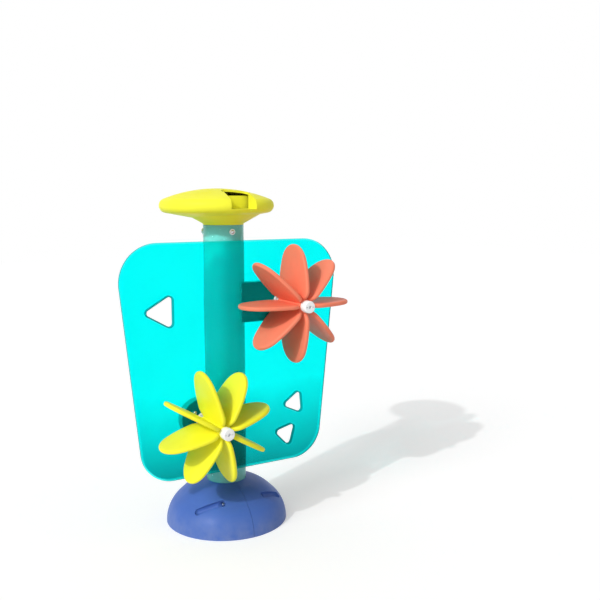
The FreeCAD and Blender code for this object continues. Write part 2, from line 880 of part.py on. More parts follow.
def window(x, z, reach, apex):
    """A three-cornered opening with rounded corners; `apex` is where one corner points."""
    corner = D.window_corner
    line = []
    for step in range(3):
        toward = math.radians(apex + 120 * step)
        middle = (x + (reach - corner * 2) * math.cos(toward),
                  z + (reach - corner * 2) * math.sin(toward))
        for offset in (-60, 60):
            angle = toward + math.radians(offset)
            point = (middle[0] + corner * math.cos(angle), middle[1] + corner * math.sin(angle))
            line.append(point + ((corner,) if offset < 0 else ()))
    return line


def flat_edges(shape, axis, values):
    """Names of the edges that lie wholly in one of the given planes."""
    names = []
    for number, edge in enumerate(shape.Edges, start=1):
        box = edge.BoundBox
        low, high = (getattr(box, axis + end) for end in ("Min", "Max"))
        if high - low < 1e-4 and any(abs(low - value) < 1e-3 for value in values):
            names.append(f"Edge{number}")
    return names


def main_panel():
    """The tinted panel with its three openings, bored for the axles and their screws."""
    low_w, high_w = D.panel_half_bottom, D.panel_half_top
    low_z, high_z = D.panel_bottom, D.panel_top
    run, climb = high_w - low_w, high_z - low_z
    length = root(run * run + climb * climb)
    low_t = D.panel_low_corner * (length - run) / climb
    high_t = D.panel_high_corner * (length + run) / climb
    side_x, side_z = run / length, climb / length
    border = [
        (low_t - low_w, low_z),
        (low_w - low_t, low_z, D.panel_low_corner),
        (low_w + low_t * side_x, low_z + low_t * side_z),
        (high_w - high_t * side_x, high_z - high_t * side_z, D.panel_high_corner),
        (high_w - high_t, high_z),
        (high_t - high_w, high_z, D.panel_high_corner),
        (high_t * side_x - high_w, high_z - high_t * side_z),
        (-low_w - low_t * side_x, low_z + low_t * side_z, D.panel_low_corner),
    ]
    windows = [
        window(D.high_window_x, D.high_window_z, D.high_window_size, 180),
        window(D.middle_window_x, D.middle_window_z, D.low_window_size, 185),
        window(D.low_window_x, D.low_window_z, D.low_window_size, 164),
    ]
    body = new_body("Panel")
    plate = pad(body, outline(body, "XZ_Plane", "PanelProfile", border, *windows),
                D.panel_thickness)
    DOC.recompute()
    bevel = body.newObject("PartDesign::Chamfer", "PanelBevel")
    thick = D.panel_thickness.value
    bevel.Base = (plate, flat_edges(plate.Shape, "Y", (0, thick, -thick)))
    bind(bevel, "Size", D.panel_bevel)
    place(body, (0, -PANEL_BACK, 0))
    holes = []
    for x, z, _, _ in WHEELS.values():
        holes.append(drill_forward(AXLE_R + 0.1, PANEL_BACK, D.panel_thickness, x, z))
        for a, b in ring_spots(x, z, D.panel_screw_circle / 2, QUARTERS):
            holes.append(drill_forward(D.panel_screw_size / 2 + 0.1, PANEL_BACK,
                                       D.panel_thickness, a, b))
    keep("main_panel", cut(body, holes))


def ring_spots(x, z, radius, angles):
    """Points on a circle in the plane of the panel."""
    return [(x + radius * math.cos(math.radians(angle)), z + radius * math.sin(math.radians(angle)))
            for angle in angles]


def arm_slab(name, inset, start, length, x, z, side):
    """A bar with one round end, that end centred on an axle."""
    radius = D.arm_radius - inset
    near = D.arm_start + inset
    far = x * side
    corners = [
        (near, z - radius),
        (far, z - radius, radius),
        (far + radius, z, radius),
        (far, z + radius),
        (near, z + radius),
    ]
    if side < 0:
        corners = [(-c[0], c[1]) + ((-c[2],) if len(c) == 3 else ()) for c in corners]
    return slab(name, "XZ_Plane", [corners], length, (0, -size(start), 0))


def upright(radius, z):
    """A cylinder about the column axis, as tall as an arm and a little more."""
    return cylinder(radius, D.arm_radius * 2 + 20, (0, 0, z - D.arm_radius - 10))


def support_arm(color, x, z, side):
    """One hollow arm behind the panel, from the column to an axle, and what fixes it."""
    wall = D.arm_wall
    boss = D.boss_depth
    front = ring_spots(x, z, D.panel_screw_circle / 2, QUARTERS)
    lids = ring_spots(x, z, D.cover_boss_reach, (90, 90 - 90 * side, 270))
    lids += [(D.cover_boss_x * side, z + D.cover_boss_reach * step) for step in (-1, 1)]
    solid = arm_slab("Arm", 0, ARM_BACK, PANEL_BACK - ARM_BACK, x, z, side)
    inside = arm_slab("ArmInside", wall, ARM_BACK - 1, PANEL_BACK - ARM_BACK - wall + 1,
                      x, z, side)
    posts = [cylinder(D.arm_boss, boss, (x, -BOSS_BACK, z), FORWARD), upright(SADDLE_R + wall, z)]
    posts += [cylinder(10.0, boss, (a, -BOSS_BACK, b), FORWARD) for a, b in front]
    posts += [cylinder(D.cover_boss, D.arm_depth, (a, -(ARM_BACK - 1), b), FORWARD)
              for a, b in lids]
    holes = [cut(inside, posts), upright(SADDLE_R, z),
             drill_forward(AXLE_R + D.axle_fit, ARM_BACK, D.arm_depth, x, z)]
    holes += [drill_forward(D.panel_screw_size / 2 + 0.05, BOSS_BACK, boss, a, b)
              for a, b in front]
    holes += [cylinder(D.cover_screw_size / 2 + 0.05, 20.0, (a, -(ARM_BACK - 1), b), FORWARD)
              for a, b in lids]
    seat = SADDLE_R + wall
    levels = [z + D.saddle_screw_spread * step for step in (-1, 1)]
    holes += [drill_out(D.saddle_screw_size / 2 + 0.05, COLUMN_R - 2, seat + 2,
                        SADDLE_ANGLE * side, level) for level in levels]
    keep(f"{color}_arm", cut(solid, holes))

    lid = arm_slab("ArmCover", 0, COVER_FACE, D.cover_thickness, x, z, side)
    holes = [drill_forward(D.cover_screw_size / 2 + 0.1, COVER_FACE, D.cover_thickness, a, b)
             for a, b in lids]
    keep(f"{color}_arm_cover", cut(lid, holes + [upright(SADDLE_R, z)]))
    keep(f"{color}_cover_screws", group([
        screw(4.8, D.cover_screw_size, D.cover_thickness + 14, (a, -COVER_FACE, b), BACK)
        for a, b in lids
    ]))
    keep(f"{color}_panel_screws", group([
        screw(7.5, D.panel_screw_size, D.panel_thickness + boss - 2, (a, -PANEL_FRONT, b), FORWARD)
        for a, b in front
    ]))
    keep(f"{color}_saddle_screws", group([
        screw(6.5, D.saddle_screw_size, wall + D.column_wall + 6,
              around(seat, SADDLE_ANGLE * side, level), outward(SADDLE_ANGLE * side))
        for level in levels
    ]))


# ---------------------------------------------------------------- wheels

def petal():
    """One blade of a wheel: out along X, wide along Y, with rounded edges."""
    wide, tip = D.petal_half_width, D.petal_tip_radius
    shift = D.wheel_radius - tip - D.petal_wide_radius
    flank = (shift * shift + wide * wide - tip * tip) / ((wide - tip) * 2)
    grow = flank / (flank - tip)
    end_x = D.petal_wide_radius + shift * grow
    end_y = flank - wide - (flank - wide) * grow
    rootside = D.petal_root_half_width
    inner = D.hub_radius * 0.45
    arc = D.petal_root_arc
    body = new_body("Petal")
    blade = pad(body, outline(body, "XY_Plane", "PetalProfile", [
        (inner, -rootside),
        (D.hub_radius, -rootside, arc),
        (D.petal_wide_radius, -wide, flank),
        (end_x, end_y, tip),
        (end_x, -end_y, flank),
        (D.petal_wide_radius, wide, arc),
        (D.hub_radius, rootside),
        (inner, rootside),
    ]), D.petal_thickness, True)
    DOC.recompute()
    half = D.petal_thickness.value / 2
    edges = [name for name in flat_edges(blade.Shape, "Z", (half, -half))
             if blade.Shape.getElement(name).BoundBox.XMax > D.hub_radius.value + 1]
    rounding = body.newObject("PartDesign::Fillet", "PetalRounding")
    rounding.Base = (blade, edges)
    bind(rounding, "Radius", D.petal_edge_round)
    return body


def wheel_set(color, x, z, phase, blade):
    """A wheel and the parts it turns on."""
    links = []
    for number in range(PETALS):
        link = DOC.addObject("App::Link", "Blade")
        link.LinkedObject = blade
        angle = phase + 360.0 / PETALS * number
        link.Placement = FreeCAD.Placement(V(), FreeCAD.Rotation(V(0, 1, 0), -angle))
        links.append(link)
    span = D.hub_front + D.hub_rear
    hub = cylinder(D.hub_radius, span, (0, -D.hub_front, 0), BACK)
    bore = cylinder(D.bush_radius + 0.03, span + 2, (0, -D.hub_front - 1, 0), BACK)
    wheel = cut(fuse([hub, *links]), [bore])
    place(wheel, (x, -D.wheel_middle, z))
    keep(f"{color}_wheel", wheel)

    slip_r = AXLE_R + D.axle_fit
    for name, facing, face in (("rear", BACK, D.wheel_middle - D.hub_rear),
                               ("front", FORWARD, HUB_FACE)):
        keep(f"{color}_{name}_bush", turned("Bush", "XZ_Plane", [
            (slip_r, -D.bush_length),
            (D.bush_radius, -D.bush_length),
            (D.bush_radius, 0),
            (D.bush_flange_radius, 0),
            (D.bush_flange_radius, D.bush_flange),
            (slip_r, D.bush_flange),
        ], (x, -face, z), facing))

    rear = BOSS_BACK - D.nut_washer - D.axle_nut_height
    shoulder = BUSH_REAR - D.axle_shoulder_length
    tip = CAP_BACK + D.axle_tip
    axle = turned("Axle", "XZ_Plane", [
        (0, rear),
        (AXLE_R - 1, rear),
        (AXLE_R, rear + 1),
        (AXLE_R, shoulder),
        (D.axle_shoulder, shoulder),
        (D.axle_shoulder, BUSH_REAR),
        (AXLE_R, BUSH_REAR),
        (AXLE_R, tip - 1),
        (AXLE_R - 1, tip),
        (0, tip),
    ], (x, 0, z), FORWARD)
    thread = cylinder(D.cap_screw_size / 2 + 0.05, 26.0, (x, -(tip - 25), z), FORWARD)
    keep(f"{color}_axle", cut(axle, [thread]))
    nut = hexagon(D.axle_nut_radius, D.axle_nut_height, (x, -rear, z), FORWARD)
    keep(f"{color}_axle_nut", cut(nut, [drill_forward(slip_r, rear, D.axle_nut_height, x, z)]))
    keep(f"{color}_nut_washer", ring(D.axle_nut_radius + 3, slip_r, D.nut_washer,
                                     (x, -(BOSS_BACK - D.nut_washer), z), FORWARD))
    keep(f"{color}_standoff", ring(D.collar_ring_radius, slip_r, shoulder - PANEL_FRONT,
                                   (x, -PANEL_FRONT, z), FORWARD))
    keep(f"{color}_thrust_washer", ring(D.washer_radius, slip_r, D.washer_thickness,
                                        (x, -WASHER_BACK, z), FORWARD))

    edge = D.cap_round
    seat = D.cap_thickness - 7
    cap = turned("Cap", "XZ_Plane", [
        (0, D.axle_tip),
        (slip_r, D.axle_tip),
        (slip_r, 0),
        (D.cap_radius, 0),
        (D.cap_radius, D.cap_thickness - edge, edge),
        (D.cap_radius - edge, D.cap_thickness),
        (0, D.cap_thickness),
    ])
    tools = [
        cylinder(D.cap_screw_head + 0.5, 10.0, (0, 0, seat)),
        cylinder(D.cap_screw_size / 2 + 0.1, D.cap_thickness, (0, 0, 1)),
    ]
    tools += [cylinder(D.cap_pin_hole, 10.0, (D.cap_pin_spacing / 2 * step, 0,
                                              D.cap_thickness - 8)) for step in (-1, 1)]
    cap = cut(cap, tools)
    place(cap, (x, -CAP_BACK, z), FORWARD)
    keep(f"{color}_end_cap", cap)
    keep(f"{color}_cap_screw", screw(D.cap_screw_head, D.cap_screw_size, seat + 16,
                                     (x, -(CAP_BACK + seat), z), FORWARD))


def export_all():
    """Check every object, then write one file for each sub-part."""
    DOC.recompute()
    for thing in DOC.Objects:
        wrong = [state for state in thing.State if state in ("Invalid", "Error")]
        if wrong:
            raise RuntimeError(f"{thing.Label} did not build: {thing.State}")
    os.makedirs("parts", exist_ok=True)
    for thing in SUBPARTS:
        if thing.Shape.isNull() or not thing.Shape.isValid():
            raise RuntimeError(f"{thing.Label} has no sound shape")
        thing.Shape.exportStep(f"parts/{thing.Label}.step")
        box = thing.Shape.BoundBox
        print(f"{thing.Label}: {len(thing.Shape.Solids)} solids, {thing.Shape.Volume / 1000:.0f} cm3,"
              f" x {box.XMin:.0f}..{box.XMax:.0f} y {box.YMin:.0f}..{box.YMax:.0f}"
              f" z {box.ZMin:.0f}..{box.ZMax:.0f}")


base_and_column()
water_supply()
base_dome()
spill_head()
main_panel()
blade = petal()
for color, (x, z, phase, side) in WHEELS.items():
    support_arm(color, x, z, side)
    wheel_set(color, x, z, phase, blade)
export_all()
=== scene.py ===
"""Water play column: finishes, moulded wheels, fasteners, lights and camera.

Run as a script. Everything is in metres, in the frame of the packed model: +Z up, the panel's
face and the wheels towards -Y.
"""
import json
import math

import bmesh
import bpy
from bpy.props import (FloatProperty, FloatVectorProperty, IntProperty, PointerProperty)
from mathutils import Matrix, Vector


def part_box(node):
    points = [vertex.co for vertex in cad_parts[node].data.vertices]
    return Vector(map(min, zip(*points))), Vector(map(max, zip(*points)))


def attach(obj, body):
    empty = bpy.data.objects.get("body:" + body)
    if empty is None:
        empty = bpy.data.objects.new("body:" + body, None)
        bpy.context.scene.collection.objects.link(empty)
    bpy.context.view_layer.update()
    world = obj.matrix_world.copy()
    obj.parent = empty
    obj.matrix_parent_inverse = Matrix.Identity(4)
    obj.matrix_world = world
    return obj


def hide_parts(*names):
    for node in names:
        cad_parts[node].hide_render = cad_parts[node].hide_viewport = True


bl_info = {
    "name": "Water Play Column",
    "version": (1, 0, 0),
    "blender": (4, 5, 0),
    "location": "3D View > Sidebar > Water Column",
    "description": "Dresses the packed water play column and sets its stage",
    "category": "Object",
}

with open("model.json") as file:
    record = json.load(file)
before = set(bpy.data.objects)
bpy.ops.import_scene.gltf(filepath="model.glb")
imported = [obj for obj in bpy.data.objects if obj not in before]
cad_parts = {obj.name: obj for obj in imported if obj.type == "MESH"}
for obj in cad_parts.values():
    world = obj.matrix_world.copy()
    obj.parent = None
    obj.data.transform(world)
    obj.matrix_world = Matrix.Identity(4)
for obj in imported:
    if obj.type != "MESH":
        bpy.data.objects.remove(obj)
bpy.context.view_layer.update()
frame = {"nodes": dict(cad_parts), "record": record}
NODES = frame["nodes"]
COLORS = ("red", "yellow")
WINDOWS = (
    # side, height, how far the corners stand out, and where one of them points
    (-0.311, 0.929, 0.0523, 180),
    (0.285, 0.490, 0.0327, 185),
    (0.242, 0.358, 0.0327, 164),
)
PANEL_SCREWS = (45, 135, 225, 315)
FLOOR_SHADE = 0.86
FLOOR_GLOW = 0.31
LIGHT_AIM = Vector((0.76, 0.35, -0.54))
CAMERA_PLACE = (-1.4201, -2.9970, 1.3784)
CAMERA_PITCH = 82.541
CAMERA_TURN = -30.855


def middle(node):
    """The middle of a node's box at rest."""
    low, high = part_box(node)
    return (low + high) / 2


def extent(node):
    """A node's size along X, Y and Z."""
    low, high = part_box(node)
    return high - low


# ---------------------------------------------------------------- finishes

def new_material(name):
    """A material with an empty tree, its output and its main shader."""
    material = bpy.data.materials.new(name)
    material.use_nodes = True
    tree = material.node_tree
    tree.nodes.clear()
    output = tree.nodes.new("ShaderNodeOutputMaterial")
    shader = tree.nodes.new("ShaderNodeBsdfPrincipled")
    tree.links.new(shader.outputs[0], output.inputs["Surface"])
    return material, tree, shader, output


def node(tree, kind, inputs=None, **settings):
    """A node with its settings, and its inputs set or linked by name or number."""
    made = tree.nodes.new(kind)
    for name, value in settings.items():
        setattr(made, name, value)
    for name, value in (inputs or {}).items():
        if isinstance(value, bpy.types.NodeSocket):
            tree.links.new(value, made.inputs[name])
        else:
            made.inputs[name].default_value = value
    return made


def object_place(tree, stretch=(1, 1, 1)):
    """Object coordinates, stretched so that a pattern can run along one direction."""
    place = node(tree, "ShaderNodeTexCoord")
    mapping = node(tree, "ShaderNodeMapping", {"Vector": place.outputs["Object"]})
    mapping.inputs["Scale"].default_value = stretch
    return mapping.outputs["Vector"]


def noise(tree, place, scale, detail=4.0, roughness=0.55):
    """A noise texture's value, about 0.3 to 0.7 for most of a surface."""
    texture = node(tree, "ShaderNodeTexNoise", {"Vector": place})
    texture.inputs["Scale"].default_value = scale
    texture.inputs["Detail"].default_value = detail
    texture.inputs["Roughness"].default_value = roughness
    return texture.outputs["Fac"]


def spread(tree, value, low, high, start=0.3, end=0.7):
    """Maps the middle of a noise onto a range."""
    made = node(tree, "ShaderNodeMapRange", {"Value": value})
    made.inputs["From Min"].default_value = start
    made.inputs["From Max"].default_value = end
    made.inputs["To Min"].default_value = low
    made.inputs["To Max"].default_value = high
    return made.outputs["Result"]


def blend_colors(tree, amount, first, second):
    """A mix of two colours, each a socket or a plain colour."""
    mix = node(tree, "ShaderNodeMix", data_type="RGBA")
    tree.links.new(amount, mix.inputs["Factor"])
    for name, color in (("A", first), ("B", second)):
        socket = next(s for s in mix.inputs if s.name == name and s.type == "RGBA")
        if isinstance(color, bpy.types.NodeSocket):
            tree.links.new(color, socket)
        else:
            socket.default_value = (*color[:3], 1)
    return next(s for s in mix.outputs if s.type == "RGBA")


def bump(tree, shader, height, strength, distance):
    """Lets a height pattern tilt the shader's normals."""
    made = node(tree, "ShaderNodeBump", {"Height": height})
    made.inputs["Strength"].default_value = strength
    made.inputs["Distance"].default_value = distance
    tree.links.new(made.outputs["Normal"], shader.inputs["Normal"])


def tone(color, factor):
    """A colour made darker or lighter, with no channel above one."""
    return tuple(min(1.0, channel * factor) for channel in color[:3])


def moulded_plastic(name, color, roughness=0.42, grain=0.00012, streaks=0.25, gloss=0.18,
                    dust=None):
    """Rotomoulded or injection moulded plastic: a cloudy tone, a fine pebble and faint runs
    where water dries. Dust pales it near the ground."""
    material, tree, shader, _ = new_material(name)
    place = object_place(tree)
    cloud = spread(tree, noise(tree, place, 5.0), 0, 1)
    base = blend_colors(tree, cloud, tone(color, 0.94), tone(color, 1.04))
    runs = noise(tree, object_place(tree, (38, 38, 2.2)), 1.0, 3.0)
    mark = spread(tree, runs, 0, streaks, 0.58, 0.78)
    base = blend_colors(tree, mark, base, tone(color, 1.25))
    if dust:
        split = node(tree, "ShaderNodeSeparateXYZ", {0: place})
        height = spread(tree, split.outputs["Z"], 0.22, 0.0, 0.0, dust)
        patchy = node(tree, "ShaderNodeMath", {0: height, 1: spread(
            tree, noise(tree, place, 22.0), 0.2, 1.0)}, operation="MULTIPLY")
        base = blend_colors(tree, patchy.outputs[0], base, (0.5, 0.5, 0.47))
    tree.links.new(base, shader.inputs["Base Color"])
    rough = spread(tree, noise(tree, place, 14.0), roughness - 0.05, roughness + 0.09)
    tree.links.new(rough, shader.inputs["Roughness"])
    shader.inputs["Specular IOR Level"].default_value = gloss
    bump(tree, shader, noise(tree, place, 420.0, 2.0), 0.35, grain)
    return material


def tinted_sheet(name, color, roughness, clear, shadow, bend=1.3, low_shade=None):
    """Cast sheet or pipe that light passes through and takes its colour from.

    `shadow` is the colour that its shadow lets through, and `bend` its refractive index.
    `low_shade` is a painted shade that deepens the tint below a height."""
    material, tree, shader, output = new_material(name)
    place = object_place(tree)
    cloud = spread(tree, noise(tree, place, 3.0), 0, 1)
    base = blend_colors(tree, cloud, tone(color, 0.96), tone(color, 1.03))
    runs = noise(tree, object_place(tree, (30, 30, 1.6)), 1.0, 3.0)
    drops = spread(tree, noise(tree, place, 120.0, 2.0), 0, 0.4, 0.62, 0.74)
    mark = spread(tree, runs, 0, 0.18, 0.55, 0.8)
    base = blend_colors(tree, mark, base, tone(color, 1.2))
    # Painted shade: the tint deepens below a height, darker towards the bottom.
    if low_shade:
        height, shaded_tint = low_shade
        split = node(tree, "ShaderNodeSeparateXYZ", {0: place})
        wave = node(tree, "ShaderNodeMath", {0: cloud, 1: 0.06, 2: split.outputs["Z"]},
                    operation="MULTIPLY_ADD")
        low = spread(tree, wave.outputs[0], 1.0, 0.0, 0.24, height)
        base = blend_colors(tree, low, base, shaded_tint)
    tree.links.new(base, shader.inputs["Base Color"])
    rough = node(tree, "ShaderNodeMath", {0: drops, 1: 0.2}, operation="MULTIPLY_ADD")
    rough.inputs[2].default_value = roughness
    tree.links.new(rough.outputs[0], shader.inputs["Roughness"])
    shader.inputs["Transmission Weight"].default_value = clear
    shader.inputs["IOR"].default_value = bend
    bump(tree, shader, noise(tree, place, 9.0, 2.0), 0.12, 0.002)
    path = node(tree, "ShaderNodeLightPath")
    stain = node(tree, "ShaderNodeBsdfTransparent")
    stain.inputs["Color"].default_value = (*shadow, 1)
    mix = node(tree, "ShaderNodeMixShader", {0: path.outputs["Is Shadow Ray"]})
    tree.links.new(shader.outputs[0], mix.inputs[1])
    tree.links.new(stain.outputs[0], mix.inputs[2])
    tree.links.new(mix.outputs[0], output.inputs["Surface"])
    return material


def metal(name, color, roughness=0.28, lay=(400, 400, 6)):
    """Stainless steel with a drawn or ground lay."""
    material, tree, shader, _ = new_material(name)
    lines = noise(tree, object_place(tree, lay), 1.0, 3.0)
    cloud = spread(tree, noise(tree, object_place(tree), 60.0), 0, 1)
    base = blend_colors(tree, cloud, tone(color, 0.86), tone(color, 1.08))
    tree.links.new(base, shader.inputs["Base Color"])
    tree.links.new(spread(tree, lines, roughness - 0.08, roughness + 0.12),
                   shader.inputs["Roughness"])
    shader.inputs["Metallic"].default_value = 1.0
    bump(tree, shader, lines, 0.25, 0.00008)
    return material


def soft_rubber(name, color):
    """Matt rubber with a fine grain."""
    material, tree, shader, _ = new_material(name)
    place = object_place(tree)
    cloud = spread(tree, noise(tree, place, 30.0), 0, 1)
    base = blend_colors(tree, cloud, tone(color, 0.7), tone(color, 1.5))
    tree.links.new(base, shader.inputs["Base Color"])
    shader.inputs["Roughness"].default_value = 0.7
    bump(tree, shader, noise(tree, place, 700.0, 2.0), 0.4, 0.0001)
    return material


def finish(names, material):
    """Gives CAD nodes a finish."""
    for name in names:
        slots = NODES[name].material_slots
        if not slots:
            NODES[name].data.materials.append(material)
        for slot in slots:
            slot.material = material


# ---------------------------------------------------------------- shapes

def mesh_object(name, build, material=None):
    """An object at the origin whose mesh a function builds."""
    mesh = bpy.data.meshes.new(name)
    work = bmesh.new()
    build(work)
    bmesh.ops.remove_doubles(work, verts=work.verts, dist=1e-7)
    bmesh.ops.recalc_face_normals(work, faces=work.faces)
    work.to_mesh(mesh)
    work.free()
    made = bpy.data.objects.new(name, mesh)
    bpy.context.scene.collection.objects.link(made)
    if material:
        mesh.materials.append(material)
    return made


def smooth(thing, angle=35.0):
    """Smooth shading that keeps edges sharper than the angle."""
    thing.data.shade_smooth()
    thing.data.set_sharp_from_angle(angle=math.radians(angle))
    return thing


def lathe(work, profile, sides, place=Matrix.Identity(4)):
    """Turns (radius, height) points about local Z and closes the ends on the axis."""
    rings = []
    for radius, height in profile:
        if radius < 1e-6:
            rings.append([work.verts.new(place @ Vector((0, 0, height)))])
            continue
        rings.append([work.verts.new(place @ Vector((
            radius * math.cos(math.tau * step / sides),
            radius * math.sin(math.tau * step / sides), height))) for step in range(sides)])
    for low, high in zip(rings, rings[1:]):
        for step in range(sides):
            after = (step + 1) % sides
            if len(low) == 1:
                work.faces.new((low[0], high[after], high[step]))
            elif len(high) == 1:
                work.faces.new((low[step], low[after], high[0]))
            else:
                work.faces.new((low[step], low[after], high[after], high[step]))


def arc_points(centre, radius, start, end, steps):
    """Points on an arc, angles in degrees."""
    points = []
    for step in range(steps + 1):
        angle = math.radians(start + (end - start) * step / steps)
        points.append((centre[0] + radius * math.cos(angle), centre[1] + radius * math.sin(angle)))
    return points


# ---------------------------------------------------------------- geometry node trees

class GeometryTree:
    """A geometry node group with named inputs, built and then applied to a mesh."""

    def __init__(self, name, inputs):
        self.group = bpy.data.node_groups.new(name, "GeometryNodeTree")
        face = self.group.interface
        face.new_socket("Geometry", in_out="INPUT", socket_type="NodeSocketGeometry")
        self.sockets = {}
        for label, kind in inputs.items():
            made = face.new_socket(label, in_out="INPUT", socket_type=kind)
            self.sockets[label] = made.identifier
        face.new_socket("Geometry", in_out="OUTPUT", socket_type="NodeSocketGeometry")
        self.source = self.group.nodes.new("NodeGroupInput")
        self.end = self.group.nodes.new("NodeGroupOutput")

    def add(self, kind, inputs=None, **settings):
        return node(self.group, kind, inputs, **settings)

    def value(self, label):
        return self.source.outputs[label]

    def close(self, geometry):
        """Ends the tree in realized geometry with its material."""
        real = self.add("GeometryNodeRealizeInstances", {"Geometry": geometry})
        painted = self.add("GeometryNodeSetMaterial", {"Geometry": real.outputs[0],
                                                       "Material": self.value("Material")})
        self.group.links.new(painted.outputs[0], self.end.inputs[0])

    def apply(self, source, name, values):
        """A plain mesh object made from the tree on a source object."""
        modifier = source.modifiers.new(name, "NODES")
        modifier.node_group = self.group
        for label, value in values.items():
            modifier[self.sockets[label]] = value
        source.update_tag()
        bpy.context.view_layer.update()
        ready = source.evaluated_get(bpy.context.evaluated_depsgraph_get())
        mesh = bpy.data.meshes.new_from_object(ready)
        mesh.name = name
        source.modifiers.clear()
        bpy.data.objects.remove(source)
        made = bpy.data.objects.new(name, mesh)
        bpy.context.scene.collection.objects.link(made)
        return made


def wheel_tree():
    """Repeats one blade round an axle that lies along Y."""
    tree = GeometryTree("Paddle Wheel", {
        "Blades": "NodeSocketInt", "Phase": "NodeSocketFloat", "Centre": "NodeSocketVector",
        "Material": "NodeSocketMaterial"})
    turn = tree.add("ShaderNodeMath", {0: math.tau, 1: tree.value("Blades")}, operation="DIVIDE")
    points = tree.add("GeometryNodeMeshLine", {"Count": tree.value("Blades"),
                                               "Start Location": tree.value("Centre"),
                                               "Offset": (0.0, 0.0, 0.0)})
    number = tree.add("GeometryNodeInputIndex")
    angle = tree.add("ShaderNodeMath", {0: number.outputs[0], 1: turn.outputs[0],
                                        2: tree.value("Phase")}, operation="MULTIPLY_ADD")
    back = tree.add("ShaderNodeMath", {0: angle.outputs[0], 1: -1.0}, operation="MULTIPLY")
    twist = tree.add("ShaderNodeCombineXYZ", {"Y": back.outputs[0]})
    blades = tree.add("GeometryNodeInstanceOnPoints", {
        "Points": points.outputs[0], "Instance": tree.value("Geometry"),
        "Rotation": twist.outputs[0]})
    tree.close(blades.outputs[0])
    return tree


def fastener_tree():
    """Sets one fastener, made along +Z, on each point and turns it to face outwards."""
    tree = GeometryTree("Fasteners", {
        "Fastener": "NodeSocketObject", "Size": "NodeSocketFloat",
        "Material": "NodeSocketMaterial"})
    way = tree.add("GeometryNodeInputNamedAttribute", {"Name": "facing"}, data_type="FLOAT_VECTOR")
    facing = tree.add("FunctionNodeAlignRotationToVector", {"Vector": way.outputs[0]}, axis="Z")
    source = tree.add("GeometryNodeObjectInfo", {"Object": tree.value("Fastener")})
    placed = tree.add("GeometryNodeInstanceOnPoints", {
        "Points": tree.value("Geometry"), "Instance": source.outputs["Geometry"],
        "Rotation": facing.outputs[0], "Scale": tree.value("Size")})
    tree.close(placed.outputs[0])
    return tree


# ---------------------------------------------------------------- wheels

def blade_outline(wheel, settings, steps=10):
    """Half the edge of a blade as (out from the axle, along the axle), root to tip."""
    size = extent(wheel)
    reach = max(size.x, size.z) / 2
    wide = size.y / 2
    hub = settings.hub_radius
    tip = settings.tip_radius
    shoulder = settings.shoulder
    shift = reach - tip - shoulder
    flank = (shift ** 2 + wide ** 2 - tip ** 2) / (2 * (wide - tip))
    lean = math.degrees(math.atan2(shift, flank - wide))
    root_arc = settings.root_arc
    root_w = settings.root_width
    rise, run = wide - root_w, shoulder - hub
    chord = math.hypot(rise, run)
    inset = math.sqrt(root_arc ** 2 - chord ** 2 / 4)
    centre = ((hub + shoulder) / 2 + inset * rise / chord,
              (root_w + wide) / 2 - inset * run / chord)
    first = math.degrees(math.atan2(root_w - centre[1], hub - centre[0]))
    last = math.degrees(math.atan2(wide - centre[1], shoulder - centre[0]))
    line = [(hub * 0.5, root_w)]
    line += arc_points(centre, root_arc, first, last, steps // 2)
    line += arc_points((shoulder, wide - flank), flank, 90, 90 - lean, steps)[1:]
    line += arc_points((reach - tip, 0), tip, 90 - lean, 0, steps)[1:]
    return line


def build_blade(work, half, thickness, edge):
    """A flat blade in the XY plane with rounded edges, its root at the axle."""
    outline = half + [(r, -w) for r, w in reversed(half[:-1])]
    count = len(outline)
    normals = []
    for number in range(count):
        before = Vector(outline[number - 1])
        after = Vector(outline[(number + 1) % count])
        way = (after - before).normalized()
        normals.append(Vector((way.y, -way.x)))
    middle_point = Vector((sum(p[0] for p in outline) / count, 0))
    if (Vector(outline[count // 2]) - middle_point).dot(normals[count // 2]) < 0:
        normals = [-normal for normal in normals]
    flat = thickness / 2 - edge
    steps = 6
    rings = []
    for step in range(-steps, steps + 1):
        angle = math.pi / 2 * step / steps
        inward = edge * (1 - math.cos(angle))
        height = edge * math.sin(angle) + math.copysign(flat, step) * (1 if step else 0)
        ring = []
        for (r, w), normal in zip(outline, normals):
            spot = Vector((r, w)) - normal * inward
            ring.append(work.verts.new((spot.x, spot.y, height)))
        rings.append(ring)
    for low, high in zip(rings, rings[1:]):
        for number in range(count):
            after = (number + 1) % count
            work.faces.new((low[number], low[after], high[after], high[number]))
    for ring in (rings[0], rings[-1]):
        strip_fill(work, ring)


def strip_fill(work, ring):
    """Closes a blade's face with cross strips, so that no face is a long fan."""
    count = len(ring)
    for step in range(count // 2):
        a, b = ring[step], ring[(step + 1) % count]
        c, d = ring[count - 2 - step], ring[count - 1 - step]
        corners = []
        for vert in (a, b, c, d):
            if vert not in corners:
                corners.append(vert)
        if len(corners) > 2 and step + 1 < count - 1 - step:
            work.faces.new(corners)


def build_hub(work, wheel, settings):
    """The wheel's middle, with a softened lip at each end and the seat of its bushes."""
    centre = middle(wheel)
    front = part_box(wheel.split("_")[0] + "_front_bush")[0].y + settings.bush_flange
    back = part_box(wheel.split("_")[0] + "_rear_bush")[1].y - settings.bush_flange
    radius = settings.hub_radius
    lip = 0.003
    place = Matrix.Translation((centre.x, front, centre.z)) @ Matrix.Rotation(
        -math.pi / 2, 4, "X")
    length = back - front
    bore = settings.bush_radius
    lathe(work, [
        (bore, 0), (radius - lip, 0), *arc_points((radius - lip, lip), lip, -80, 0, 4),
        *arc_points((radius - lip, length - lip), lip, 0, 80, 4), (radius - lip, length),
        (bore, length), (bore, 0)], 64, place)


# ---------------------------------------------------------------- panel and weir

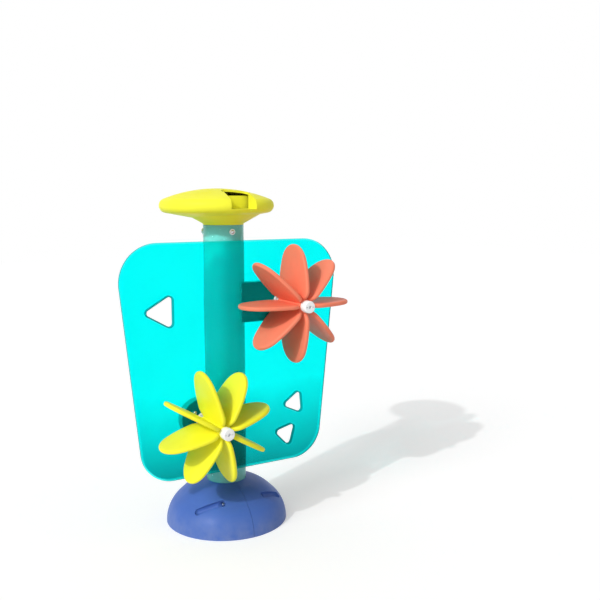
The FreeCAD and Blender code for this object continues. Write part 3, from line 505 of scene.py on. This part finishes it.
def rounded_loop(spots, steps=10):
    """Points and outward normals round circles (x, z, radius) taken in order, like a belt."""
    loop = []
    count = len(spots)
    for number, (x, z, radius) in enumerate(spots):
        turns = []
        for first, second in ((spots[number - 1], spots[number]),
                              (spots[number], spots[(number + 1) % count])):
            run = Vector((second[0] - first[0], second[1] - first[1]))
            lean = math.asin((first[2] - second[2]) / run.length)
            turns.append(math.atan2(run.y, run.x) - math.pi / 2 + lean)
        start, end = turns
        while end < start:
            end += math.tau
        for step in range(steps + 1):
            angle = start + (end - start) * step / steps
            normal = Vector((math.cos(angle), math.sin(angle)))
            loop.append((Vector((x, z)) + normal * radius, normal))
    return loop


def border_circles(settings, low, high):
    """The four corner circles of the panel, from its slanted sides and corner radii."""
    half_low, half_high = settings.half_bottom, settings.half_top
    run, climb = half_high - half_low, high - low
    length = math.hypot(run, climb)
    low_in = settings.low_corner * (length - run) / climb
    high_in = settings.high_corner * (length + run) / climb
    low_x, high_x = half_low - low_in, half_high - high_in
    low_z, high_z = low + settings.low_corner, high - settings.high_corner
    return [(-low_x, low_z, settings.low_corner), (low_x, low_z, settings.low_corner),
            (high_x, high_z, settings.high_corner), (-high_x, high_z, settings.high_corner)]


def circle_loop(x, z, radius, sides=32):
    """Points and outward normals round a circle."""
    turns = [math.tau * step / sides for step in range(sides)]
    normals = [Vector((math.cos(turn), math.sin(turn))) for turn in turns]
    return [(Vector((x, z)) + normal * radius, normal) for normal in normals]


def window_circles(x, z, spread_out, apex, corner):
    """The three corner circles of a window that points towards an angle."""
    turns = [math.radians(apex + 120 * step) for step in range(3)]
    return [(x + spread_out * math.cos(turn), z + spread_out * math.sin(turn), corner)
            for turn in turns]


def build_panel(work, settings, low, high):
    """A flat sheet with windows and bores. The rounding of its border is in a second material, a
    painted highlight. The cut walls are in a third, a painted shade, with all but the outermost
    band of a window's rounding."""
    half_thick = (high.y - low.y) / 2
    middle_y = (low.y + high.y) / 2
    loops = [(rounded_loop(border_circles(settings, low.z, high.z), 24), settings.edge, -1)]
    for x, z, spread_out, apex in WINDOWS:
        circles = window_circles(x, z, spread_out, apex, settings.window_corner)
        loops.append((rounded_loop(circles), settings.window_edge, 1))
    for color in COLORS:
        hub = middle(f"{color}_wheel")
        bores = [(hub.x, hub.z, settings.axle_bore)]
        bores += [(hub.x + settings.screw_reach * math.cos(math.radians(turn)),
                   hub.z + settings.screw_reach * math.sin(math.radians(turn)),
                   settings.screw_bore) for turn in PANEL_SCREWS]
        loops += [(circle_loop(*bore), 0.0, 0) for bore in bores]
    arcs = 5
    steps = [step for step in range(-arcs - 1, arcs + 2) if step]
    # Bands that are cut wall, counted from the back: of the border, a bore and a window.
    walls = {-1: (4, 5, 6), 0: (0,), 1: range(1, 10)}
    front, back = [], []
    for loop, edge, side in loops:
        rings = []
        for step in steps if side else (-1, 1):
            angle = math.pi / 2 * (abs(step) - 1) / arcs
            shift = edge * (1 - math.cos(angle)) * side
            depth = math.copysign(half_thick - edge * (1 - math.sin(angle)), step)
            rings.append([work.verts.new((point.x + normal.x * shift, middle_y - depth,
                                          point.y + normal.y * shift))
                          for point, normal in loop])
        for level, (first, second) in enumerate(zip(rings, rings[1:])):
            for number in range(len(loop)):
                after = (number + 1) % len(loop)
                face = work.faces.new((first[number], first[after], second[after],
                                       second[number]))
                # Material 1 is the painted highlight of the rounding, material 2 the painted shade
                # of the cut walls.
                face.material_index = 2 if level in walls[side] else 1
        back.append(rings[0])
        front.append(rings[-1])
    for face_rings in (front, back):
        edges = [work.edges.get((ring[number], ring[(number + 1) % len(ring)]))
                 for ring in face_rings for number in range(len(ring))]
        bmesh.ops.triangle_fill(work, use_beauty=True, edges=edges)


def build_weir(work, settings):
    """The wall that the water wells up behind, across the back of the spout."""
    tray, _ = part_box("spill_tray")
    base = tray.z + settings.weir_foot
    top = base + settings.weir_height
    half = settings.weir_width / 2
    thick = settings.weir_thickness
    back_fall = 0.002
    line = [(-half, 0)] + [(half * math.sin(math.radians(step)), -settings.weir_bow *
                            math.cos(math.radians(step))) for step in range(-75, 76, 15)]
    line.append((half, 0))
    place = Matrix.Translation((settings.weir_x, settings.weir_y, 0)) @ Matrix.Rotation(
        settings.weir_turn, 4, "Z")
    rows = []
    for shift in (0, thick):
        for height in (base, top - back_fall if shift else top):
            rows.append([work.verts.new(place @ Vector((x, y + shift, height)))
                         for x, y in line])
    low_front, high_front, low_back, high_back = rows
    for first, second in ((low_front, high_front), (high_front, high_back),
                          (high_back, low_back), (low_back, low_front)):
        for number in range(len(line) - 1):
            work.faces.new((first[number], first[number + 1], second[number + 1],
                            second[number]))
    for number in (0, len(line) - 1):
        work.faces.new([row[number] for row in (low_front, high_front, high_back, low_back)])


# ---------------------------------------------------------------- fasteners

def islands(thing):
    """The separate solids of a CAD node, each as a list of points."""
    work = bmesh.new()
    work.from_mesh(thing.data)
    bmesh.ops.remove_doubles(work, verts=work.verts, dist=1e-5)
    left = set(work.verts)
    groups = []
    while left:
        stack = [left.pop()]
        found = []
        while stack:
            vert = stack.pop()
            found.append(vert.co.copy())
            for edge in vert.link_edges:
                other = edge.other_vert(vert)
                if other in left:
                    left.remove(other)
                    stack.append(other)
        groups.append(found)
    work.free()
    return groups


def screw_mesh(work, head, height, shank, length):
    """A dome-head tamper screw along +Z, its head's seat at the origin."""
    recess = head * 0.42
    deep = height * 0.45
    crown = [(head, 0), (head, height * 0.3)]
    crown += [(head * math.cos(a), height * (0.3 + 0.7 * math.sin(a)))
              for a in (math.radians(step) for step in (15, 30, 45, 58))]
    top = crown[-1][1] + (height - crown[-1][1]) * 0.6
    lathe(work, [
        (0, -length), (shank * 0.75, -length), (shank, -length + shank * 0.4), (shank, -1e-4),
        (shank, 0), *crown, (recess * 1.04, top), (recess, top - 2e-4), (recess, top - deep),
        (head * 0.14, top - deep), (head * 0.12, top - 4e-4), (0, top - 2e-4)], 36)


def replace_screws(name, group, direction, shank, material):
    """Rebuilds a group of CAD screws in finer detail, each where its solid is."""
    spots = []
    sizes = []
    for points in islands(NODES[group]):
        centre = sum(points, Vector()) / len(points)
        facing = direction(centre)
        along = [point.dot(facing) for point in points]
        across = max((point - centre - facing * (point - centre).dot(facing)).length
                     for point in points)
        sizes.append((across, max(along), min(along)))
        spots.append((centre - facing * centre.dot(facing), facing))
    head = sizes[0][0]
    height = head * 0.7
    length = sizes[0][1] - sizes[0][2] - height
    source = mesh_object(name + "_pattern", lambda work: screw_mesh(
        work, head, height, shank, length))
    smooth(source)
    mesh = bpy.data.meshes.new(name + "_places")
    mesh.from_pydata([foot + facing * (size[1] - height)
                      for (foot, facing), size in zip(spots, sizes)], [], [])
    facings = mesh.attributes.new("facing", "FLOAT_VECTOR", "POINT")
    for number, (_, facing) in enumerate(spots):
        facings.data[number].vector = facing
    places = bpy.data.objects.new(name + "_places", mesh)
    bpy.context.scene.collection.objects.link(places)
    made = fastener_tree().apply(places, name, {"Fastener": source, "Size": 1.0,
                                                "Material": material})
    bpy.data.objects.remove(source)
    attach(made, "stand")
    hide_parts(group)
    return made


def outwards(point):
    """Away from the column's axis."""
    return Vector((point.x, point.y, 0)).normalized()


def forwards(_):
    """Towards the panel's front."""
    return Vector((0, -1, 0))


def rearwards(_):
    """Towards the panel's back."""
    return Vector((0, 1, 0))


# ---------------------------------------------------------------- settings

def color_setting(label, about, default):
    """A colour that the sidebar can change."""
    return FloatVectorProperty(name=label, description=about, subtype="COLOR", size=3,
                               min=0.0, max=1.0, default=default)


def length_setting(label, about, default):
    """A length in metres that the sidebar can change."""
    return FloatProperty(name=label, description=about, default=default, min=0.0,
                         subtype="DISTANCE", unit="LENGTH", precision=4)


class WATER_PG_shell(bpy.types.PropertyGroup):
    """The moulded dome and the spill head."""
    dome_color: color_setting("Dome Colour", "Blue of the base dome", (0.066, 0.15, 0.492))
    head_color: color_setting("Head Colour", "Yellow of the spill head", (0.98, 0.95, 0.055))
    dust_height: length_setting("Dust Height", "How far up the dome dust settles", 0.09)
    weir_x: length_setting("Weir Side", "Middle of the weir, sideways", 0.024)
    weir_y: FloatProperty(name="Weir Depth", description="Ends of the weir, front to back",
                          default=-0.056, subtype="DISTANCE", unit="LENGTH")
    weir_turn: FloatProperty(name="Weir Turn", description="Turn of the weir, as the spout's",
                             default=math.radians(-9.0), subtype="ANGLE")
    weir_foot: length_setting("Weir Foot", "Foot of the weir above the tray's underside", 0.006)
    weir_height: length_setting("Weir Height", "Height of the weir's wall", 0.052)
    weir_width: length_setting("Weir Width", "Width of the weir", 0.124)
    weir_bow: length_setting("Weir Bow", "How far the weir bows forward", 0.004)
    weir_thickness: length_setting("Weir Thickness", "Thickness of the weir", 0.005)


class WATER_PG_clear(bpy.types.PropertyGroup):
    """The clear column, its arms and the tinted panel."""
    column_color: color_setting("Column Colour", "Pale tint of the column", (0.33, 0.86, 0.82))
    arm_color: color_setting("Arm Colour", "Aqua of the arms behind the panel", (0.3, 0.84, 0.8))
    panel_color: color_setting("Panel Colour", "Tint of the panel", (0.0, 1.0, 1.0))
    panel_clearness: FloatProperty(
        name="Panel Clearness", description="Share of the light that passes through the panel",
        subtype="FACTOR", min=0.0, max=1.0, default=0.95)
    column_clearness: FloatProperty(
        name="Column Clearness", description="Share of the light that passes through the column",
        subtype="FACTOR", min=0.0, max=1.0, default=0.6)


class WATER_PG_panel(bpy.types.PropertyGroup):
    """The shape of the tinted panel."""
    half_bottom: length_setting("Half Bottom", "Half the width where the sides meet the bottom",
                                0.401)
    half_top: length_setting("Half Top", "Half the width where the sides meet the top", 0.5)
    low_corner: length_setting("Low Corners", "Radius of the lower corners", 0.138)
    high_corner: length_setting("High Corners", "Radius of the upper corners", 0.155)
    window_corner: length_setting("Window Corners", "Corner radius of the windows", 0.013)
    edge: length_setting("Edge Radius", "Rounding over of the outer edges", 0.007)
    window_edge: length_setting("Window Edges", "Rounding over of the windows' edges", 0.0085)
    axle_bore: length_setting("Axle Bores", "Radius of the bores for the axles", 0.0126)
    screw_bore: length_setting("Screw Bores", "Radius of the screws' bores", 0.0041)
    screw_reach: length_setting("Screw Reach", "From an axle to the screws round it", 0.048)
    # Painted highlight on the rounded edges.
    highlight_edge_color: color_setting("Edge Colour", "Bright tint of the rounded edges",
                              (0.06, 1.0, 0.96))
    # Painted shade on the cut walls.
    shaded_wall_color: color_setting("Wall Colour", "Deep tint of the cut edges", (0.0, 0.36, 0.38))


class WATER_PG_wheel(bpy.types.PropertyGroup):
    """The two paddle wheels."""
    blades: IntProperty(name="Blades", description="Blades on each wheel", default=8, min=3,
                        max=24)
    thickness: length_setting("Blade Thickness", "Thickness of a blade", 0.017)
    edge: length_setting("Edge Radius", "Rounding of a blade's edges", 0.0076)
    hub_radius: length_setting("Hub Radius", "Radius of the wheel's hub", 0.027)
    bush_radius: length_setting("Bush Radius", "Outside radius of the bushes", 0.018)
    bush_flange: length_setting("Bush Flange", "Thickness of a bush's flange", 0.008)
    tip_radius: length_setting("Tip Radius", "Radius of a blade's round tip", 0.095)
    shoulder: length_setting("Shoulder", "How far out a blade is widest", 0.06)
    root_arc: length_setting("Root Arc", "Rounding between root and shoulder", 0.045)
    root_width: length_setting("Root Width", "Half a blade's width at the hub", 0.086)
    red: color_setting("Upper Wheel", "Coral of the upper wheel", (0.95, 0.25, 0.145))
    yellow: color_setting("Lower Wheel", "Yellow of the lower wheel", (0.99, 0.93, 0.035))
    phase: FloatProperty(name="Lower Wheel Turn", description="Turn of the lower wheel at rest",
                         subtype="ANGLE", default=math.radians(14.4))


class WATER_PG_fittings(bpy.types.PropertyGroup):
    """Steel, white plastic and rubber fittings."""
    steel: color_setting("Steel", "Stainless steel", (0.55, 0.56, 0.58))
    white: color_setting("White Fittings", "White bushes, caps and washers", (0.99, 0.99, 0.97))
    rubber: color_setting("Rubber", "Seals and thrust washers", (0.02, 0.02, 0.022))
    shank: length_setting("Screw Radius", "Radius of the threaded part of a screw", 0.004)


class WATER_PG_stage(bpy.types.PropertyGroup):
    """Floor, light and camera."""
    floor: length_setting("Floor Size", "Half the width of the floor", 14.0)
    sun: FloatProperty(name="Sun", description="Strength of the key light", default=2.35, min=0.0)
    softness: FloatProperty(name="Softness", description="Share of the key light that is wide",
                            subtype="FACTOR", min=0.0, max=1.0, default=0.5)
    crisp_angle: FloatProperty(name="Crisp Angle", description="Spread of the crisp share",
                               subtype="ANGLE", default=math.radians(1.0))
    soft_angle: FloatProperty(name="Wide Angle", description="Spread of the wide share",
                              subtype="ANGLE", default=math.radians(28.0))
    sky: FloatProperty(name="Sky", description="Strength of the fill light", default=0.42,
                       min=0.0)
    lens: FloatProperty(name="Lens", description="Focal length of the camera", default=47.63,
                        min=1.0, subtype="DISTANCE_CAMERA")


# ---------------------------------------------------------------- operators

class WATER_OT_shells(bpy.types.Operator):
    """Finish the base dome and the spill head"""
    bl_idname = "water.shells"
    bl_label = "Dome and Head"

    def execute(self, context):
        settings = context.scene.water_shell
        blue = moulded_plastic("dome blue", settings.dome_color, 0.42, streaks=0.1,
                               dust=settings.dust_height)
        finish([name for name in NODES if name.startswith("dome_sector")], blue)
        yellow = moulded_plastic("head yellow", settings.head_color, 0.42, streaks=0.08,
                                 gloss=0.06)
        finish(("head_shell", "spill_tray"), yellow)
        weir = mesh_object("spill_weir", lambda work: build_weir(work, settings), yellow)
        smooth(weir)
        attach(weir, "stand")
        return {"FINISHED"}


class WATER_OT_clear_parts(bpy.types.Operator):
    """Finish the column, the panel and the arms behind it"""
    bl_idname = "water.clear_parts"
    bl_label = "Column and Panel"

    def execute(self, context):
        settings = context.scene.water_clear
        column = tinted_sheet("column aqua", settings.column_color, 0.2,
                              settings.column_clearness, shadow=(0.72, 0.74, 0.74))
        finish(("column_tube",), column)
        arms = tinted_sheet("arm aqua", settings.arm_color, 0.3, 0.5,
                            shadow=(0.7, 0.76, 0.76))
        finish(("red_arm", "yellow_arm", "red_arm_cover", "yellow_arm_cover"), arms)
        shape = context.scene.water_panel
        stain = (0.22, 0.38, 0.38)
        # The sheet gets a painted shade, darker towards the bottom below 0.62 m.
        sheet = tinted_sheet("panel cyan", settings.panel_color, 0.04,
                             settings.panel_clearness, stain, bend=1.12,
                             low_shade=(0.62, (0.0, 0.27, 0.28)))
        # The rounded edges carry a painted highlight and the cut walls a painted shade.
        highlight_rim = tinted_sheet("panel edge", shape.highlight_edge_color, 0.1, 0.95, stain, bend=1.05)
        wall = tinted_sheet("panel wall", shape.shaded_wall_color, 0.3, 0.3, stain, bend=1.12)
        finish(("main_panel",), sheet)
        low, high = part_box("main_panel")
        panel = mesh_object("tinted_panel", lambda work: build_panel(work, shape, low, high),
                            sheet)
        panel.data.materials.append(highlight_rim)
        panel.data.materials.append(wall)
        smooth(panel, 50)
        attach(panel, "stand")
        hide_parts("main_panel")
        return {"FINISHED"}


class WATER_OT_wheels(bpy.types.Operator):
    """Mould the blades and hubs of both wheels"""
    bl_idname = "water.wheels"
    bl_label = "Paddle Wheels"

    def execute(self, context):
        settings = context.scene.water_wheel
        tree = wheel_tree()
        for color in COLORS:
            node_name = f"{color}_wheel"
            plastic = moulded_plastic(f"{color} paddle", getattr(settings, color), 0.42,
                                      streaks=0.06)
            half = blade_outline(node_name, settings)
            blade = mesh_object(f"{color}_blade", lambda work, half=half: build_blade(
                work, half, settings.thickness, settings.edge))
            smooth(blade, 30)
            phase = settings.phase if color == "yellow" else 0.0
            petals = tree.apply(blade, f"{color}_petals", {
                "Blades": settings.blades, "Phase": phase, "Centre": middle(node_name),
                "Material": plastic})
            hub = mesh_object(f"{color}_hub", lambda work, name=node_name: build_hub(
                work, name, settings), plastic)
            smooth(hub)
            for piece in (petals, hub):
                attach(piece, f"{color}_wheel_body")
                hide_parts(node_name)
        return {"FINISHED"}


class WATER_OT_fittings(bpy.types.Operator):
    """Finish the bushes, caps, axles and the parts inside"""
    bl_idname = "water.fittings"
    bl_label = "Fittings"

    def execute(self, context):
        settings = context.scene.water_fittings
        slots = {entry["node"]: entry["material_slot"] for entry in frame["record"]["subparts"]}
        kinds = {
            "white_plastic": moulded_plastic("white fittings", settings.white, 0.45, streaks=0.3),
            "steel": metal("steel", settings.steel),
            "screw_steel": metal("screw steel", tone(settings.steel, 1.1), 0.22, (60, 60, 60)),
            "black_rubber": soft_rubber("rubber", settings.rubber),
        }
        for slot, material in kinds.items():
            finish([name for name in NODES if slots[name] == slot], material)
        return {"FINISHED"}


class WATER_OT_fasteners(bpy.types.Operator):
    """Rebuild the screws that show, each where its solid is"""
    bl_idname = "water.fasteners"
    bl_label = "Fasteners"

    def execute(self, context):
        shank = context.scene.water_fittings.shank
        steel = bpy.data.materials["screw steel"]
        replace_screws("column_screw_heads", "column_top_screws", outwards, shank, steel)
        for color in COLORS:
            replace_screws(f"{color}_panel_screw_heads", f"{color}_panel_screws", forwards,
                           shank, steel)
            replace_screws(f"{color}_cover_screw_heads", f"{color}_cover_screws", rearwards,
                           shank * 0.62, steel)
            replace_screws(f"{color}_cap_screw_head", f"{color}_cap_screw", forwards, shank,
                           steel)
        return {"FINISHED"}


class WATER_OT_stage(bpy.types.Operator):
    """Lay the floor and set the lights and the camera"""
    bl_idname = "water.stage"
    bl_label = "Stage"

    def execute(self, context):
        settings = context.scene.water_stage
        scene = context.scene
        scene.view_settings.view_transform = "Standard"

        world = bpy.data.worlds.new("sky")
        world.use_nodes = True
        scene.world = world
        tree = world.node_tree
        tree.nodes.clear()
        seen = seen_directly(tree)
        fill = node(tree, "ShaderNodeBackground", {"Color": (1, 1, 1, 1),
                                                   "Strength": settings.sky})
        white = node(tree, "ShaderNodeBackground", {"Color": (1, 1, 1, 1), "Strength": 1.0})
        mix = node(tree, "ShaderNodeMixShader", {0: seen})
        tree.links.new(fill.outputs[0], mix.inputs[1])
        tree.links.new(white.outputs[0], mix.inputs[2])
        output = tree.nodes.new("ShaderNodeOutputWorld")
        tree.links.new(mix.outputs[0], output.inputs[0])

        half = settings.floor

        def lay(work):
            corners = [work.verts.new((x, y, 0)) for x, y in
                       ((-half, -half), (half, -half), (half, half), (-half, half))]
            work.faces.new(corners)

        floor = mesh_object("floor", lay, floor_material())

        aim = LIGHT_AIM.to_track_quat("-Z", "Y").to_euler()
        for name, share, wide in (("key", 1 - settings.softness, settings.crisp_angle),
                                  ("soft_key", settings.softness, settings.soft_angle)):
            lamp = bpy.data.lights.new(name, "SUN")
            lamp.energy = settings.sun * share
            lamp.angle = wide
            light = bpy.data.objects.new(name, lamp)
            light.rotation_euler = aim
            scene.collection.objects.link(light)

        optics = bpy.data.cameras.new("camera")
        optics.lens = settings.lens
        optics.clip_end = 60
        camera = bpy.data.objects.new("camera", optics)
        camera.location = CAMERA_PLACE
        camera.rotation_euler = (math.radians(CAMERA_PITCH), 0, math.radians(CAMERA_TURN))
        scene.collection.objects.link(camera)
        scene.camera = camera
        return {"FINISHED"}


def seen_directly(tree):
    """One for rays from the eye, and for those mirrored or passed on by glossy or clear parts."""
    path = node(tree, "ShaderNodeLightPath")
    glossy = node(tree, "ShaderNodeMath", {0: path.outputs["Is Camera Ray"],
                                           1: path.outputs["Is Glossy Ray"]}, operation="MAXIMUM")
    clear = node(tree, "ShaderNodeMath", {0: glossy.outputs[0],
                                          1: path.outputs["Is Transmission Ray"]},
                 operation="MAXIMUM")
    sharp = node(tree, "ShaderNodeMath", {0: path.outputs["Diffuse Depth"], 1: 0.5},
                 operation="LESS_THAN")
    both = node(tree, "ShaderNodeMath", {0: clear.outputs[0], 1: sharp.outputs[0]},
                operation="MULTIPLY")
    return both.outputs[0]


def floor_material():
    """White where lit, and a pale grey in shadow."""
    material = bpy.data.materials.new("floor white")
    material.use_nodes = True
    tree = material.node_tree
    tree.nodes.clear()
    grey = (FLOOR_SHADE, FLOOR_SHADE, FLOOR_SHADE, 1)
    diffuse = node(tree, "ShaderNodeBsdfDiffuse", {"Color": grey})
    glow = node(tree, "ShaderNodeEmission", {"Color": (1, 1, 1, 1)})
    level = node(tree, "ShaderNodeMath", {0: seen_directly(tree), 1: FLOOR_GLOW},
                 operation="MULTIPLY")
    tree.links.new(level.outputs[0], glow.inputs["Strength"])
    both = node(tree, "ShaderNodeAddShader")
    tree.links.new(diffuse.outputs[0], both.inputs[0])
    tree.links.new(glow.outputs[0], both.inputs[1])
    output = tree.nodes.new("ShaderNodeOutputMaterial")
    tree.links.new(both.outputs[0], output.inputs["Surface"])
    return material


class WATER_PT_panel(bpy.types.Panel):
    """Settings and steps of the water play column"""
    bl_idname = "WATER_PT_panel"
    bl_label = "Water Column"
    bl_space_type = "VIEW_3D"
    bl_region_type = "UI"
    bl_category = "Water Column"

    def draw(self, context):
        layout = self.layout
        for name, group in SETTINGS.items():
            box = layout.box()
            box.label(text=group.__doc__)
            for prop in group.__annotations__:
                box.prop(getattr(context.scene, name), prop)
        for step in STEPS:
            layout.operator(step.bl_idname)


SETTINGS = {
    "water_shell": WATER_PG_shell,
    "water_clear": WATER_PG_clear,
    "water_panel": WATER_PG_panel,
    "water_wheel": WATER_PG_wheel,
    "water_fittings": WATER_PG_fittings,
    "water_stage": WATER_PG_stage,
}
STEPS = (
    WATER_OT_stage,
    WATER_OT_shells,
    WATER_OT_clear_parts,
    WATER_OT_fittings,
    WATER_OT_wheels,
    WATER_OT_fasteners,
)


def register():
    for made in (*SETTINGS.values(), *STEPS, WATER_PT_panel):
        bpy.utils.register_class(made)
    for name, group in SETTINGS.items():
        setattr(bpy.types.Scene, name, PointerProperty(type=group))


def unregister():
    for name in SETTINGS:
        delattr(bpy.types.Scene, name)
    for made in reversed((*SETTINGS.values(), *STEPS, WATER_PT_panel)):
        bpy.utils.unregister_class(made)


def main():
    register()
    for step in STEPS:
        family, name = step.bl_idname.split(".")
        getattr(getattr(bpy.ops, family), name)()


if __name__ == "__main__":
    main()
